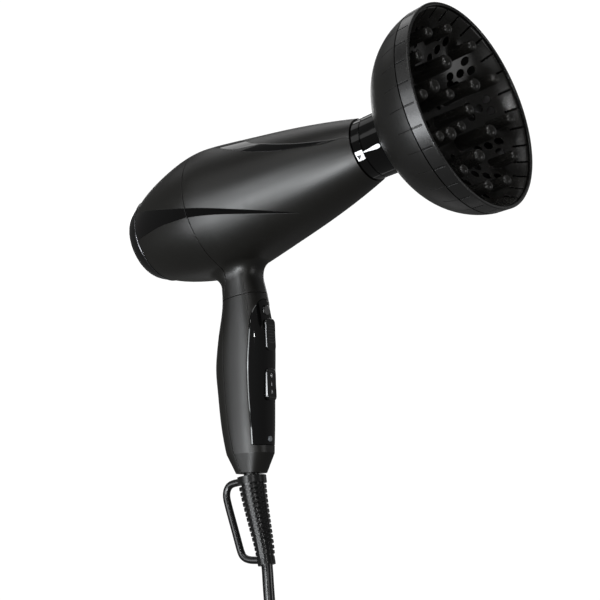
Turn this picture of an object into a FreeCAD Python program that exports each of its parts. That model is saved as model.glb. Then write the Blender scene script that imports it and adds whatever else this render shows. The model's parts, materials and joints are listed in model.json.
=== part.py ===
import FreeCAD, Part
import math, os
import Sketcher

# Hand-held hair dryer with a bowl diffuser on its nozzle.
# Frame: origin at the centre of the diffuser's front rim, +X blows forward along the barrel axis,
# +Z up, +Y to the dryer's left.  Millimetres; angles in degrees.

Vec = FreeCAD.Vector
ORIGIN, X_DIR, Y_DIR, Z_DIR = Vec(0, 0, 0), Vec(1, 0, 0), Vec(0, 1, 0), Vec(0, 0, 1)
doc = FreeCAD.newDocument("hair_dryer")
sheet = doc.addObject("Spreadsheet::Sheet", "dims")
ALIASES = []
PIECES = []


# ---------------------------------------------------------------- document helpers
def dim(alias, value):
    """Write a driving dimension to the sheet and return it."""
    ALIASES.append(alias)
    row = len(ALIASES)
    sheet.set("A%d" % row, alias)
    sheet.set("B%d" % row, "%.6g" % value)
    sheet.setAlias("B%d" % row, alias)
    return value


def keep(obj, label):
    """Mark an object as an exported piece."""
    obj.Label = label
    PIECES.append(obj)


def feature(label, shape):
    obj = doc.addObject("Part::Feature", label)
    obj.Shape = shape
    obj.Placement = shape.Placement
    keep(obj, label)


def bound_primitive(kind, label, sizes, place):
    """Part primitive with sizes (property, alias ending, value) bound to the sheet."""
    obj = doc.addObject(kind, label)
    for prop, ending, value in sizes:
        alias = "%s_%s" % (label, ending)
        dim(alias, value)
        obj.setExpression(prop, "dims." + alias)
    obj.Placement = place
    return obj


def box_object(label, size, place):
    sizes = zip(("Length", "Width", "Height"), ("len", "wid", "hgt"), size)
    return bound_primitive("Part::Box", label, sizes, place)


def box_piece(label, size, place):
    keep(box_object(label, size, place), label)


def cylinder_piece(label, rad, length, place):
    sizes = (("Radius", "rad", rad), ("Height", "len", length))
    keep(bound_primitive("Part::Cylinder", label, sizes, place), label)


def turned_piece(label, x_start, points):
    """Body turned about X: points are (distance from x_start, radius), bound to the sheet."""
    body = doc.addObject("PartDesign::Body", label + "_body")
    sketch = body.newObject("Sketcher::SketchObject", label + "_sketch")
    plane = [item for item in body.Origin.OriginFeatures if item.Role == "XZ_Plane"][0]
    sketch.AttachmentSupport = (plane, [""])
    sketch.MapMode = "FlatFace"
    count = len(points)
    for start, end in zip(points, points[1:] + points[:1]):
        sketch.addGeometry(Part.LineSegment(Vec(*start, 0), Vec(*end, 0)), False)
    for i in range(count):
        sketch.addConstraint(Sketcher.Constraint("Coincident", i, 2, (i + 1) % count, 1))
    for i, (distance, radius) in enumerate(points):
        # a zero value puts the corner on the sketch axis instead (-1 horizontal, -2 vertical)
        for kind, name, value, axis in (("DistanceX", "dx", distance, -2),
                                        ("DistanceY", "rad", radius, -1)):
            if abs(value) < 1e-9:
                sketch.addConstraint(Sketcher.Constraint("PointOnObject", i, 1, axis))
                continue
            alias = "%s_%s%s" % (label, name, chr(97 + i))
            dim(alias, value)
            index = sketch.addConstraint(Sketcher.Constraint(kind, i, 1, value))
            sketch.setExpression("Constraints[%d]" % index, "dims." + alias)
    turn = body.newObject("PartDesign::Revolution", label + "_turn")
    turn.Profile = sketch
    turn.ReferenceAxis = (sketch, ["H_Axis"])
    turn.Angle = 360.0
    body.Tip = turn
    body.Placement = place_at(x_start, 0, 0)
    doc.recompute()
    keep(body, label)


# ---------------------------------------------------------------- driving dimensions
dim("rim_radius", 75.0)
BARREL_FRONT = dim("barrel_front", -86.0)
SEAM_X = dim("shell_seam", -214.5)
BARREL_REAR = dim("barrel_rear", -270.0)
BARREL_WALL = dim("barrel_wall", 2.2)
GRIP_WALL = dim("grip_wall", 2.6)
SEAM_GAP = dim("seam_gap", 0.4)
TRIM_DEPTH = dim("trim_depth", 1.0)
PANEL_DEPTH = dim("panel_depth", 1.5)
GRIP_X = dim("grip_axis_start", -197.8)
GRIP_ANGLE = dim("grip_angle", 103.0)
NECK_SEAM = dim("neck_seam", 66.4)
NECK_ANGLE = dim("neck_seam_angle", 9.6)
GRIP_END = dim("grip_end", 190.5)
GRIP_TAPER = dim("grip_taper", 177.0)
CORD_RAD = dim("cord_radius", 4.0)
# stations along the grip, and the two sliding knobs' size and travel
HEAT_KNOB = dim("heat_knob_pos", 94.5)
SPEED_KNOB = dim("speed_knob_pos", 129.5)
COOL_BUTTON = dim("cool_button_pos", 77.0)
TRAVEL = dim("knob_travel", 7.0)
KNOB_LEN = dim("knob_long", 22.5)
KNOB_WIDTH = dim("knob_wide", 11.0)
sheet.recompute()


# ---------------------------------------------------------------- grip frame
# Local X runs down the grip ("along"), local Y is +Y, local Z points to the front ("ahead").
tilt = math.radians(GRIP_ANGLE)
DOWN = Vec(math.cos(tilt), 0, -math.sin(tilt))
AHEAD = Vec(math.sin(tilt), 0, math.cos(tilt))
GRIP_START = Vec(GRIP_X, 0, 0)
GRIP_FRAME = FreeCAD.Placement(FreeCAD.Matrix(
    DOWN.x, 0, AHEAD.x, GRIP_START.x,
    DOWN.y, 1, AHEAD.y, GRIP_START.y,
    DOWN.z, 0, AHEAD.z, GRIP_START.z,
    0, 0, 0, 1))


def grip_point(along, y, ahead):
    return GRIP_START + DOWN * along + Y_DIR * y + AHEAD * ahead


def to_grip(shape):
    """Copy of a shape modelled in grip coordinates, moved to its place."""
    out = shape.copy()
    out.Placement = GRIP_FRAME
    return out


def place_at(x, y, z):
    return FreeCAD.Placement(Vec(x, y, z), FreeCAD.Rotation())


def place_on_grip(along, y, ahead):
    return GRIP_FRAME.multiply(place_at(along, y, ahead))


def place_facing(point, direction):
    """Placement that turns local Z to the direction."""
    return FreeCAD.Placement(point, FreeCAD.Rotation(Z_DIR, direction))


# ---------------------------------------------------------------- shape helpers
def x_rod(rad, x_start, x_end, y=0.0, z=0.0):
    return Part.makeCylinder(rad, x_end - x_start, Vec(x_start, y, z), X_DIR)


def x_tube(outer, inner, x_start, x_end):
    return x_rod(outer, x_start, x_end).cut(x_rod(inner, x_start - 1, x_end + 1))


def grip_rod(rad, length, along, ahead):
    """Cylinder square to the grip on its centre plane, running ahead."""
    return Part.makeCylinder(rad, length, grip_point(along, 0, ahead), AHEAD)


def spread(count, first=0.0):
    """Evenly spaced angles of a full turn."""
    return [first + 360.0 / count * k for k in range(count)]


def on_circle(radius, degrees):
    """(y, z) on a circle about X, from +Y toward +Z."""
    angle = math.radians(degrees)
    return radius * math.cos(angle), radius * math.sin(angle)


def rod_ring(rad, x_start, x_end, pitch_rad, angles):
    return [x_rod(rad, x_start, x_end, *on_circle(pitch_rad, angle)) for angle in angles]


def spin(shape, angles):
    """Copies of a shape turned about X."""
    copies = []
    for angle in angles:
        copies.append(shape.copy())
        copies[-1].rotate(ORIGIN, X_DIR, angle)
    return copies


def cut_all(shape, tools):
    return shape.cut(Part.makeCompound(tools))


def biggest(shape):
    """The single biggest solid of a boolean result."""
    return sorted(shape.Solids, key=lambda solid: solid.Volume)[-1]


def spline(points, periodic=False):
    curve = Part.BSplineCurve()
    curve.interpolate(Points=points, PeriodicFlag=periodic)
    return curve.toShape()


def face_of(edges):
    return Part.Face(Part.Wire(Part.__sortEdges__(edges)))


def turned(points):
    """Solid turned about X from a smooth profile of (x, radius)."""
    (x_first, r_first), (x_last, r_last) = points[0], points[-1]
    wire = Part.Wire([
        spline([Vec(x, 0, radius) for x, radius in points]),
        Part.makeLine(Vec(x_last, 0, r_last), Vec(x_last, 0, 0)),
        Part.makeLine(Vec(x_last, 0, 0), Vec(x_first, 0, 0)),
        Part.makeLine(Vec(x_first, 0, 0), Vec(x_first, 0, r_first))])
    return Part.Face(wire).revolve(ORIGIN, X_DIR, 360)


def turned_polygon(points):
    wire = Part.makePolygon([Vec(x, 0, radius) for x, radius in points + points[:1]])
    return Part.Face(wire).revolve(ORIGIN, X_DIR, 360)


def offset_profile(points, offset):
    return [(x, radius + offset) for x, radius in points]


def sweep(path, profile, frenet=False):
    pipe = path.makePipeShell([profile], True, frenet)
    return pipe.Solids[0] if pipe.Solids else Part.Solid(pipe)


def smooth_tube(points, rad):
    edge = spline(points)
    start = edge.FirstParameter
    circle = Part.makeCircle(rad, edge.valueAt(start), edge.tangentAt(start))
    return sweep(Part.Wire([edge]), Part.Wire([circle]))


def interpolate(rows, position):
    """Row of a table at a position in its first column, by straight interpolation."""
    for near, far in zip(rows, rows[1:]):
        if min(near[0], far[0]) <= position <= max(near[0], far[0]):
            share = (position - near[0]) / (far[0] - near[0])
            return [start + share * (end - start) for start, end in zip(near, far)]


# ---------------------------------------------------------------- barrel
# (x, outer radius), front to rear
BARREL = [(BARREL_FRONT, 23.3), (-112, 30.0), (-140, 35.8), (-168, 40.6), (-195, 45.0),
          (-212, 46.7), (-230, 44.6), (-247, 40.2), (-260, 35.6), (BARREL_REAR, 30.9)]
END_OVERRUN = 4        # the cavity runs out through both barrel ends
LIP_EXTRA = 0.9        # extra wall at the front lip
TRIM_PROUD = 0.06


def barrel_radius(x):
    return interpolate(BARREL, max(BARREL_REAR, min(BARREL_FRONT, x)))[1]


cavity_profile = offset_profile(BARREL, -BARREL_WALL)
x, radius = cavity_profile[0]
cavity_profile[0] = (x + END_OVERRUN, radius - LIP_EXTRA)
x, radius = cavity_profile[-1]
cavity_profile[-1] = (x - END_OVERRUN, radius)
barrel_out = turned(BARREL)
barrel_in = turned(cavity_profile)
barrel_floor = turned(offset_profile(BARREL, -TRIM_DEPTH))
barrel_skin = turned(offset_profile(BARREL, TRIM_PROUD))

# ---------------------------------------------------------------- grip form
# (station along the grip, rear reach, front reach, half width).  A reach is the section's
# extent in a slanted direction, whose shares sideways and fore-and-aft are given below.
GRIP = [(38, 16.8, 13.6, 13.8), (50, 16.3, 14.0, 13.8), (57, 16.0, 14.8, 13.9),
        (63, 15.8, 16.0, 14.2), (70.5, 15.9, 17.2, 14.8), (80, 17.1, 18.6, 15.5),
        (91, 19.2, 20.1, 16.1), (104, 21.1, 20.4, 16.5), (116, 22.2, 19.9, 16.6),
        (130, 21.7, 19.2, 16.6), (144, 20.9, 18.6, 16.4), (158, 19.8, 18.0, 16.0),
        (170, 18.2, 17.3, 15.2), (GRIP_TAPER, 16.9, 16.9, 14.6)]
GRIP_FOOT = (GRIP_END, 10.9, 11.1, 10.4)
SIDE_SHARE, AHEAD_SHARE = 0.56, 0.8275
SECTION_POWER = 2.5    # superellipse exponent
SECTION_POINTS = 40


def half_depth(slanted, half_width):
    """Fore-and-aft half size of a section with this slanted reach."""
    dual = SECTION_POWER / (SECTION_POWER - 1.0)
    return (slanted ** dual - (SIDE_SHARE * half_width) ** dual) ** (1.0 / dual) / AHEAD_SHARE


def section(along, back, front, half_width, inset):
    """Closed superellipse section in the grip frame."""
    front_depth = half_depth(front, half_width) - inset
    back_depth = half_depth(back, half_width) - inset
    points = []
    for i in range(SECTION_POINTS):
        angle = 2 * math.pi * i / SECTION_POINTS
        ahead, side = [math.copysign(abs(part) ** (2.0 / SECTION_POWER), part)
                       for part in (math.cos(angle), math.sin(angle))]
        depth = front_depth if ahead > 0 else back_depth
        points.append(Vec(along, (half_width - inset) * side, depth * ahead))
    return Part.Wire([spline(points, True)])


def front_at(along):
    """How far ahead of the grip axis the front surface lies."""
    _, _, front, half_width = interpolate(GRIP, along)
    return half_depth(front, half_width)


def grip_solid(inset, end_inset=0.0):
    top = Part.makeLoft([section(*row, inset) for row in GRIP], True, False)
    foot = section(GRIP_FOOT[0] - end_inset, *GRIP_FOOT[1:], inset)
    low = Part.makeLoft([section(*GRIP[-1], inset), foot], True, True)
    return to_grip(top.fuse(low))


grip_out = grip_solid(0.0)
grip_in = grip_solid(GRIP_WALL, 2.6)


# ---------------------------------------------------------------- hollow outer form
def neck_edges(shape):
    """Edges where the grip meets the underside of the barrel."""
    def on_neck(point):
        height = math.hypot(point.y, point.z) - barrel_radius(point.x)
        return abs(height) <= 1.2 and point.z <= -36
    return [edge for edge in shape.Edges if all(on_neck(p) for p in edge.discretize(7))]


def blend_neck(shape):
    """Blend the neck with the largest radius the kernel can build."""
    for radius in (11.0, 10.0, 9.0, 8.0, 7.0, 6.0, 5.0):
        # guards a fillet that fails at this radius; the next smaller one is taken
        try:
            blended = shape.makeFillet(radius, neck_edges(shape))
            if blended.isValid() and blended.Volume > shape.Volume:
                return blended
        except Exception:
            continue
    return shape


whole = biggest(blend_neck(barrel_out.fuse(grip_out)))
bore_front = x_rod(21.3, BARREL_FRONT - 12, BARREL_FRONT + 5)
bore_rear = x_rod(28.6, BARREL_REAR - 5, BARREL_REAR + 14)
cord_exit = Part.makeCylinder(5.7, 20, grip_point(GRIP_END - 12, 0, 0), DOWN)
shell = whole.cut(barrel_in.fuse(grip_in).fuse([bore_front, bore_rear, cord_exit]))

# ---------------------------------------------------------------- shells split at the seams
# (along, ahead) of the parting line down the grip
GRIP_SEAM = [(55, -6.9), (62, -8.4), (80, -9.2), (105, -9.7), (130, -9.4), (150, -8.3),
             (166, -6.6), (180, -4.0), (196, -0.5)]
REGION_SIDE, REGION_TOP, REGION_REAR = 70, 80, -420


def rear_region(shift):
    """Everything behind the parting line, the line moved forward by shift."""
    seam_x = SEAM_X + shift
    points = [Vec(seam_x, -REGION_SIDE, -30), Vec(seam_x, -REGION_SIDE, -38.0),
              Vec(-214.6 + shift, -REGION_SIDE, -43.5)]
    for along, ahead in GRIP_SEAM:
        point = grip_point(along, 0, ahead)
        points.append(Vec(point.x + shift, -REGION_SIDE, point.z))
    curve = spline(points)
    end = min(curve.Vertexes, key=lambda vertex: vertex.Point.z).Point
    top_front = Vec(seam_x, -REGION_SIDE, REGION_TOP)
    top_rear = Vec(REGION_REAR, -REGION_SIDE, REGION_TOP)
    low_rear = Vec(REGION_REAR, -REGION_SIDE, end.z)
    wire = Part.Wire([Part.makeLine(top_front, points[0]), curve, Part.makeLine(end, low_rear),
                      Part.makeLine(low_rear, top_rear), Part.makeLine(top_rear, top_front)])
    return Part.Face(wire).extrude(Vec(0, 2 * REGION_SIDE, 0))


def above_neck(shift):
    """Everything above the tilted neck seam, the seam moved down the grip by shift."""
    angle = math.radians(NECK_ANGLE)
    normal = DOWN * math.cos(angle) + AHEAD * math.sin(angle)
    block = Part.makeBox(400, 400, 400, Vec(-200, -200, -400))
    block.Placement = place_facing(grip_point(NECK_SEAM + shift, 0, 0), normal)
    return block


rear_zone, rear_zone_gap = rear_region(0.0), rear_region(SEAM_GAP)
upper = shell.common(above_neck(0.0))
lower = shell.cut(above_neck(SEAM_GAP))
front_housing = biggest(upper.cut(rear_zone_gap))
rear_housing = biggest(upper.common(rear_zone))
grip_front = biggest(lower.cut(rear_zone_gap))
grip_rear = biggest(lower.common(rear_zone))

# ---------------------------------------------------------------- barrel trims
# Outlines on the barrel: (x from the barrel front, degrees above the horizontal plane)
SIDE_UPPER = [(-190, 38), (-183.5, 32), (-172, 21.5), (-158.5, 12.8), (-141.8, 3.7),
              (-129, -1.8), (-110.8, -9.8), (-94.5, -19), (-76.5, -31.3), (-67.2, -39.2),
              (-58.8, -48.5), (-53.5, -55.5)]
SIDE_LOWER = [(-190, -7.6), (-180.8, -7.3), (-167.5, -6.8), (-155.5, -6.6), (-145, -7.8),
              (-128.8, -10.5), (-107.5, -17.5), (-97.2, -22.5), (-84, -30.2), (-68.2, -41.5),
              (-53.5, -55.5)]
ARCH_REAR = [(-119, 90), (-114, 70.5), (-100.8, 55), (-90.5, 46.2), (-83, 40.5), (-74.2, 35),
             (-64.2, 29.8), (-54, 25.2), (-44.2, 22), (-28, 18), (-13.5, 15.5), (0, 13.5),
             (8, 12.0)]
ARCH_FRONT = [(-95, 90), (-91.5, 72), (-82.8, 59.3), (-75.2, 49.8), (-66, 43), (-54.8, 36.2),
              (-44.5, 30.5), (-35.5, 26.5), (-20.5, 21), (-9.8, 17.4), (0, 15.2), (8, 14.0)]


def side_prism(side):
    """Side trim outline carried out to one side: -1 right, +1 left."""
    def outline(rows):
        points = []
        for distance, degrees in rows:
            x = distance + BARREL_FRONT
            points.append(Vec(x, 0, barrel_radius(x) * math.sin(math.radians(degrees))))
        return points
    upper_edge, lower_edge = outline(SIDE_UPPER), outline(SIDE_LOWER)
    back = Part.makeLine(upper_edge[0], lower_edge[0])
    return face_of([spline(upper_edge), spline(lower_edge), back]).extrude(Vec(0, 70 * side, 0))


def arch_prism(rows):
    """Outline over the crown of the barrel, closed at its front and carried up."""
    def point(distance, degrees, side):
        x = distance + BARREL_FRONT
        return Vec(x, side * barrel_radius(x) * math.cos(math.radians(degrees)), 0)
    points = [point(*row, -1) for row in reversed(rows)] + [point(*row, 1) for row in rows[1:]]
    edges = [spline(points), Part.makeLine(points[0], points[-1])]
    return face_of(edges).extrude(Vec(0, 0, 70))


skin = barrel_out.cut(barrel_floor)
proud_skin = barrel_skin.cut(barrel_floor)
side_prisms = {"right": side_prism(-1), "left": side_prism(1)}
arch = arch_prism(ARCH_REAR).cut(arch_prism(ARCH_FRONT))
pockets = Part.makeCompound([skin.common(side_prisms["right"]),
                             skin.common(side_prisms["left"]), skin.common(arch)])
barrel_zone = Part.makeBox(BARREL_FRONT - BARREL_REAR, 140, 140, Vec(BARREL_REAR, -70, -70))
for side, prism in side_prisms.items():
    inlay = proud_skin.common(prism).common(barrel_zone)
    feature("side_trim_front_" + side, biggest(inlay.cut(rear_zone_gap)))
    feature("side_trim_rear_" + side, biggest(inlay.common(rear_zone)))
feature("top_trim", biggest(proud_skin.common(arch).common(barrel_zone)))
feature("front_housing", biggest(front_housing.cut(pockets)))
feature("rear_housing", biggest(rear_housing.cut(pockets)))

# ---------------------------------------------------------------- switch panel
# (along, half width) of the panel outline, top to bottom
PANEL = [(68.5, 0.0), (69.6, 4.2), (72.2, 7.8), (76.5, 10.9), (83, 13.0), (91, 14.1),
         (101, 14.8), (113, 15.2), (126, 15.2), (140, 14.9), (155, 14.2), (165, 13.6),
         (172, 13.1)]
PANEL_FIT = 0.18       # running gap round the panel
PANEL_CHAMFER = 0.45
LENS_POS = 167.5


def panel_prism(inset):
    outline = ([(PANEL[0][0] + inset, 0.0)]
               + [(along, width - inset) for along, width in PANEL[1:-1]]
               + [(PANEL[-1][0] - inset, PANEL[-1][1] - inset)])
    right = [Vec(along, -width, 2.0) for along, width in reversed(outline)]
    left = [Vec(along, width, 2.0) for along, width in outline[1:]]
    face = face_of([spline(right + left), Part.makeLine(right[0], left[-1])])
    return to_grip(face.extrude(Vec(0, 0, 40)))


def knob_slot(position):
    """Short slot for a knob stem, long enough for its travel."""
    return to_grip(Part.makeBox(6.6 + TRAVEL, 4.4, 30, Vec(position - 3.3, -2.2, 5)))


def chamfer_panel(shape):
    """Chamfer the edges on the grip surface, leaving out the small openings' edges."""
    # guards a chamfer that fails on the panel outline; the edge then stays sharp
    try:
        edges = []
        for edge in shape.Edges:
            depths = [grip_out.distToShape(Part.Vertex(point))[0]
                      for point in edge.discretize(5)[1:4]]
            centre = GRIP_FRAME.inverse().multVec(edge.CenterOfMass)
            if max(depths) < 0.03 and (abs(centre.y) > 5 or edge.Length > 20):
                edges.append(edge)
        chamfered = shape.makeChamfer(PANEL_CHAMFER, edges)
        if chamfered.isValid() and 0 < chamfered.Volume < shape.Volume:
            return biggest(chamfered)
    except Exception:
        pass
    return shape


grip_skin = grip_out.cut(grip_solid(PANEL_DEPTH))
panel_pocket = panel_prism(0.0).common(grip_skin)
grip_front = biggest(grip_front.cut(panel_pocket))
panel = biggest(panel_prism(PANEL_FIT).common(grip_skin))
control_holes = [knob_slot(HEAT_KNOB), knob_slot(SPEED_KNOB), grip_rod(3.85, 30, COOL_BUTTON, 4)]
panel = biggest(cut_all(panel, control_holes))
panel = biggest(panel.cut(grip_rod(2.05, 12, LENS_POS, 12)))
grip_front = biggest(cut_all(grip_front, control_holes))
feature("switch_panel", chamfer_panel(panel))

# ---------------------------------------------------------------- handle shells and screws
SCREW_STATIONS = (112.0, 171.0)


def handle_screw(along):
    """Cross-slotted screw with its head to the rear."""
    screw = grip_rod(2.7, 2.0, along, -13.6).fuse(grip_rod(1.25, 12.5, along, -11.6))
    slot_along = to_grip(Part.makeBox(4, 0.9, 1.2, Vec(along - 2, -0.45, -14.2)))
    slot_across = to_grip(Part.makeBox(0.9, 4, 1.2, Vec(along - 0.45, -2, -14.2)))
    return screw.cut(slot_along.fuse(slot_across)).Solids[0]


# the rear tube takes the head, the front tube takes the thread
boss_limit = grip_solid(GRIP_WALL - 0.6, 2.0)
rear_bosses = [grip_rod(3.6, 24, s, -31.5).common(grip_out) for s in SCREW_STATIONS]
front_bosses = [grip_rod(3.2, 22, s, -7.0).common(boss_limit) for s in SCREW_STATIONS]
rear_holes = [grip_rod(rad, length, s, -31.5)
              for s in SCREW_STATIONS for rad, length in ((2.9, 20.0), (1.55, 26))]
front_holes = [grip_rod(1.3, 9.5, s, -7.5) for s in SCREW_STATIONS]
grip_rear = biggest(cut_all(grip_rear.fuse(rear_bosses), rear_holes))
grip_front = biggest(cut_all(grip_front.fuse(front_bosses), front_holes))
feature("handle_front_shell", grip_front)
feature("handle_rear_shell", grip_rear)
feature("handle_screws", Part.makeCompound([handle_screw(s) for s in SCREW_STATIONS]))
lens_base = grip_point(LENS_POS, 0, 0) + AHEAD * (front_at(LENS_POS) - 1.2)
cylinder_piece("indicator_lens", 1.95, 1.9, place_facing(lens_base, AHEAD))

# ---------------------------------------------------------------- sliding knobs and switches
KNOB_RISE = 0.25       # knob base over the highest panel point below it
KNOB_TOP = 0.8         # knob top over its base
KNOB_THICK = 1.9
KNOB_CLEARANCE = 0.22
DISH_RAD = 60
DISH_RISE = 59.72      # dish axis over the knob top
STEM_REF = 1.5         # level over the knob base from which stem and switch hang
STEM_DROP = 14.9
STEM_LEN = 13.7


def knob_base(position):
    return max(front_at(position + step) for step in (-9, -4, 0, 5, 10, 14)) + KNOB_RISE


def knob(position):
    """Rounded paddle with a dished top and a stem, in grip coordinates."""
    base = knob_base(position)
    top = base + KNOB_TOP
    corner = Vec(position - KNOB_LEN / 2, -KNOB_WIDTH / 2, top - KNOB_THICK)
    paddle = Part.makeBox(KNOB_LEN, KNOB_WIDTH, KNOB_THICK, corner)
    upright = [edge for edge in paddle.Edges
               if abs(edge.Vertexes[0].Z - edge.Vertexes[-1].Z) > 1]
    paddle = paddle.makeFillet(3.2, upright)
    rim = [edge for edge in paddle.Edges
           if all(abs(vertex.Z - top) < 1e-6 for vertex in edge.Vertexes)]
    paddle = paddle.makeFillet(0.42, rim)
    dish_axis = Vec(position, -15, top + DISH_RISE)
    paddle = paddle.cut(Part.makeCylinder(DISH_RAD, 30, dish_axis, Y_DIR))
    # the underside clears the panel at both ends of the travel
    rows = [row for row in GRIP if position - 40 < row[0] < position + 45]
    panel_form = Part.makeLoft([section(*row, -KNOB_CLEARANCE) for row in rows], True, False)
    panel_form_moved = panel_form.copy()
    panel_form_moved.translate(Vec(-TRAVEL, 0, 0))
    paddle = paddle.cut(panel_form).cut(panel_form_moved)
    stem_corner = Vec(position - 3.0, -2.0, base + STEM_REF - STEM_DROP)
    return biggest(paddle.fuse(Part.makeBox(6.0, 4.0, STEM_LEN, stem_corner)))


def switch_body(label, position):
    """Block with a well for the knob stem."""
    level = knob_base(position) + STEM_REF
    body = doc.addObject("Part::Cut", label)
    body.Base = box_object(label + "_block", (19.0, 9.6, 12.0),
                           place_on_grip(position - 6.0, -4.8, level - 19.4))
    body.Tool = box_object(label + "_well", (13.4, 4.4, 10.0),
                           place_on_grip(position - 3.2, -2.2, level - 16.8))
    keep(body, label)


feature("heat_slider", to_grip(knob(HEAT_KNOB)))
feature("speed_slider", to_grip(knob(SPEED_KNOB)))
switch_body("heat_switch_body", HEAT_KNOB)
switch_body("speed_switch_body", SPEED_KNOB)

# ---------------------------------------------------------------- cool-shot button
cool_front = front_at(COOL_BUTTON)
cool_top = cool_front + 0.8


def cool_rod(rad, length, depth):
    """Cylinder at the button, starting this deep below the grip's front surface."""
    return Part.makeCylinder(rad, length, Vec(COOL_BUTTON, 0, cool_front - depth), Z_DIR)


button = cool_rod(3.75, 2.8, 2.0)
button = button.makeFillet(
    0.55, [edge for edge in button.Edges if abs(edge.CenterOfMass.z - cool_top) < 1e-6])
button = button.fuse(cool_rod(1.6, 4.2, 6.1))
feature("cool_shot_button", to_grip(biggest(button)))

COIL_RAD, SPRING_WIRE_RAD = 2.6, 0.22
helix = Part.makeHelix(0.95, 2.85, COIL_RAD)      # pitch, height, radius
spring_section = Part.Wire([Part.makeCircle(SPRING_WIRE_RAD, Vec(COIL_RAD, 0, 0), Y_DIR)])
spring = sweep(Part.Wire(helix.Edges), spring_section, True)
spring.Placement = place_on_grip(COOL_BUTTON, 0, cool_front - 5.15)
feature("cool_shot_spring", spring)

cool_switch = Part.makeBox(10.0, 6.0, 7.0, Vec(COOL_BUTTON - 5.0, -3.0, cool_front - 12.6))
feature("cool_shot_switch", to_grip(cool_switch.cut(cool_rod(1.7, 3, 7.8))))

# ---------------------------------------------------------------- circuit board and wiring
box_piece("circuit_board", (42.0, 18.0, 1.6), place_on_grip(122.0, -9.0, -6.9))
box_piece("suppressor_capacitor", (12.0, 13.0, 7.5), place_on_grip(150.0, -6.5, -5.25))


def lead(y, rad=1.1):
    """Insulated lead: straight runs with rounded elbows."""
    points = [grip_point(168, y, -10.5), grip_point(110, y, -11.5), grip_point(80, y, -8.5),
              grip_point(50, y, -3.0), Vec(-200, y, -39.2), Vec(-184, y, -38.0),
              Vec(-174, y, -37.0), Vec(-170.5, y * 0.6, -17.5), Vec(-163, y * 0.6, -17.5)]
    bits = [Part.makeCylinder(rad, (end - start).Length, start, end - start)
            for start, end in zip(points, points[1:])]
    bits += [Part.makeSphere(rad, point) for point in points[1:-1]]
    return biggest(bits[0].fuse(bits[1:]))


feature("internal_wiring", Part.makeCompound([lead(-7.0), lead(7.0)]))

# ---------------------------------------------------------------- cord
# (along, ahead) of the cord centre line
CORD = [(176, 0.0), (179, 0.0), (182, 0.0), (185, 0.0), (188, 0.0), (192, 0.03), (200, 0.7),
        (209.4, 2.1), (223.6, 4.8), (241.2, 8.3), (255.9, 10.2), (267, 10.6), (284, 11.3),
        (301, 12.0)]
cord_points = [grip_point(along, 0, ahead) for along, ahead in CORD]
cord = smooth_tube(cord_points, CORD_RAD)
cord_bore = smooth_tube(cord_points, CORD_RAD + 0.05)
cord_end = cord_points[-1]
end_dir = (cord_end - cord_points[-2]).normalize()
conductors, conductor_holes = [], []
for y in (-1.75, 1.75):
    base = cord_end - end_dir * 11 + Vec(0, y, 0)
    conductor_holes.append(Part.makeCylinder(1.3, 14, base, end_dir))
    conductors.append(Part.makeCylinder(1.25, 14.5, base + end_dir * 0.05, end_dir))
feature("cord_sheath", biggest(cut_all(cord, conductor_holes)))
feature("cord_conductors", Part.makeCompound(conductors))

# ---------------------------------------------------------------- cord boot with hanging loop
BOOT_CORE = [(196.0, 7.0), (210, 6.5), (225, 6.1), (240, 5.8), (250.5, 5.6)]  # (along, radius)
# (along, share of the rib taper) of the side rail sections
BOOT_RAIL = [(195.5, 0.0), (208, 0.25), (221, 0.5), (235, 0.75), (251, 1.0)]
# (along, ahead) of the loop behind the boot
LOOP = [(195.4, -8.0), (196.4, -14.0), (198.0, -19.2), (203.0, -22.0), (210.0, -21.3),
        (220.0, -18.6), (234.2, -14.6), (243.5, -12.0), (247.9, -9.9), (250.5, -5.6),
        (251.4, 0.5), (252.0, 6.0)]
RIB_COUNT, RIB_START, RIB_PITCH, RIB_THICK = 14, 199.6, 3.55, 2.1
RIB_RAD, RIB_TAPER = 9.7, 2.9


def cord_track(along):
    """Point on the cord line and the direction the cord runs there."""
    point, beyond = [grip_point(station, 0, interpolate(CORD, station)[1])
                     for station in (along, along + 1)]
    return point, (beyond - point).normalize()


def boot_ring(along, rad, thick):
    return Part.makeCylinder(rad, thick, *cord_track(along))


def rail_section(along, share, side):
    """Section of a side rail: a bar with a pointed outer face."""
    rad = RIB_RAD - RIB_TAPER * share
    half = 3.6 - 0.7 * share
    shoulder = side * (math.sqrt(rad * rad - half * half) - 0.15)
    root, tip = side * 4.3, side * (rad + 0.15)
    outline = [(root, -half), (shoulder, -half), (tip, 0.0), (shoulder, half), (root, half)]
    point, direction = cord_track(along)
    normal = Y_DIR.cross(direction)
    return Part.makePolygon([point + Y_DIR * y + normal * rise
                             for y, rise in outline + outline[:1]])


boot_parts = [boot_ring(192.6, 10.25, 5.2), boot_ring(183.4, 7.2, 3.8), boot_ring(187.0, 5.5, 7.0)]
core_sections = [Part.Wire([Part.makeCircle(rad, *cord_track(along))])
                 for along, rad in BOOT_CORE]
boot_parts.append(Part.makeLoft(core_sections, True, False))
for k in range(RIB_COUNT):
    rib_rad = RIB_RAD - RIB_TAPER * k / (RIB_COUNT - 1)
    boot_parts.append(boot_ring(RIB_START + RIB_PITCH * k, rib_rad, RIB_THICK))
boot_parts.append(boot_ring(249.6, 6.3, 5.6))
for side in (-1, 1):
    rails = [rail_section(*row, side) for row in BOOT_RAIL]
    boot_parts.append(Part.makeLoft(rails, True, True))
boot_parts.append(smooth_tube([grip_point(along, 0, ahead) for along, ahead in LOOP], 2.65))
feature("cord_boot", biggest(boot_parts[0].fuse(boot_parts[1:]).cut(cord_bore)))

# ---------------------------------------------------------------- cord clamp
CLAMP_SCREW_AT = 179.6
CLAMP_SCREW_Y = (-5.9, 5.9)


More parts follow.
